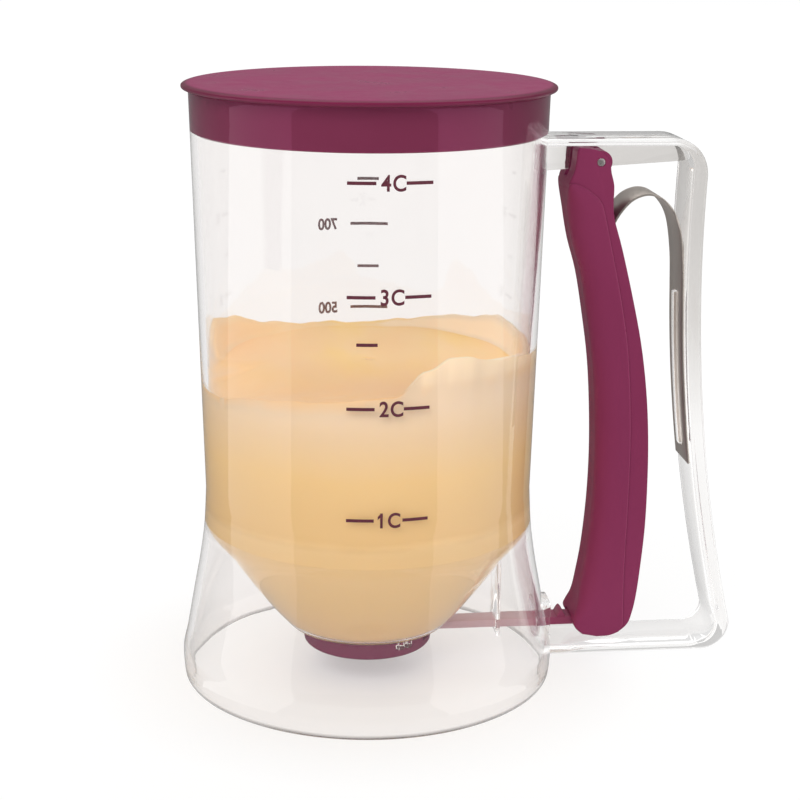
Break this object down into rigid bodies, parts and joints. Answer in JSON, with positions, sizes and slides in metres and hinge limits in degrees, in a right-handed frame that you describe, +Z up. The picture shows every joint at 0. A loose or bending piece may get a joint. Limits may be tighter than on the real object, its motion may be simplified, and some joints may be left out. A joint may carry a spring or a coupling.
{
  "type": "pancake batter dispenser",
  "caption": "Clear jug with a funnel floor, a lift-off lid, and a sprung trigger in its handle that slides a valve open under the funnel.",
  "frame": {"origin": "centre of the bounding box's bottom face, on the plane that the base ring stands on", "axes": "+Z up along the jug's axis; +X towards the handle and trigger; the cup scale faces -Y"},
  "size_m": [0.1728, 0.1158, 0.1825],
  "materials": {
    "clear_plastic": "clear, polished, faintly warm moulded styrene",
    "plum_plastic": "plum moulded polypropylene, satin with soft reflections",
    "steel": "turned pin, slightly dull",
    "spring_steel": "rolled stainless strip, satin, long grain",
    "silicone": "translucent pale silicone",
    "batter": "pancake batter, visual contents only, smooth and slightly glossy",
    "scale_ink": "dark plum pad-printed ink"
  },
  "bodies": {
    "jug": {"jug_wall": "clear_plastic", "jug_funnel": "clear_plastic", "handle_frame": "clear_plastic", "hinge_pin": "steel", "leaf_spring": "spring_steel", "valve_cap": "plum_plastic", "valve_seal": "silicone"},
    "lid": {"lid": "plum_plastic"},
    "trigger": {"trigger": "plum_plastic"},
    "slide_arm": {"slide_arm": "plum_plastic"}
  },
  "joints": [
    {"name": "trigger_squeeze", "type": "hinge", "parent": "jug", "child": "trigger", "pos_m": [0.03948, 0, 0.16], "axis": [0, -1, 0], "range_deg": [0, 7.5], "stiffness_Nm_per_rad": 4, "springref_deg": -4.01, "deforming": ["leaf_spring"]},
    {"name": "arm_slide", "type": "slide", "parent": "jug", "child": "slide_arm", "axis": [1, 0, 0], "range_m": [0, 0.0192]},
    {"name": "lid_lift", "type": "slide", "parent": "jug", "child": "lid", "axis": [0, 0, 1], "range_m": [0, 0.13]}
  ],
  "couplings": [
    {"joint": "arm_slide", "follows": "trigger_squeeze", "m_per_rad": 0.1456}
  ]
}
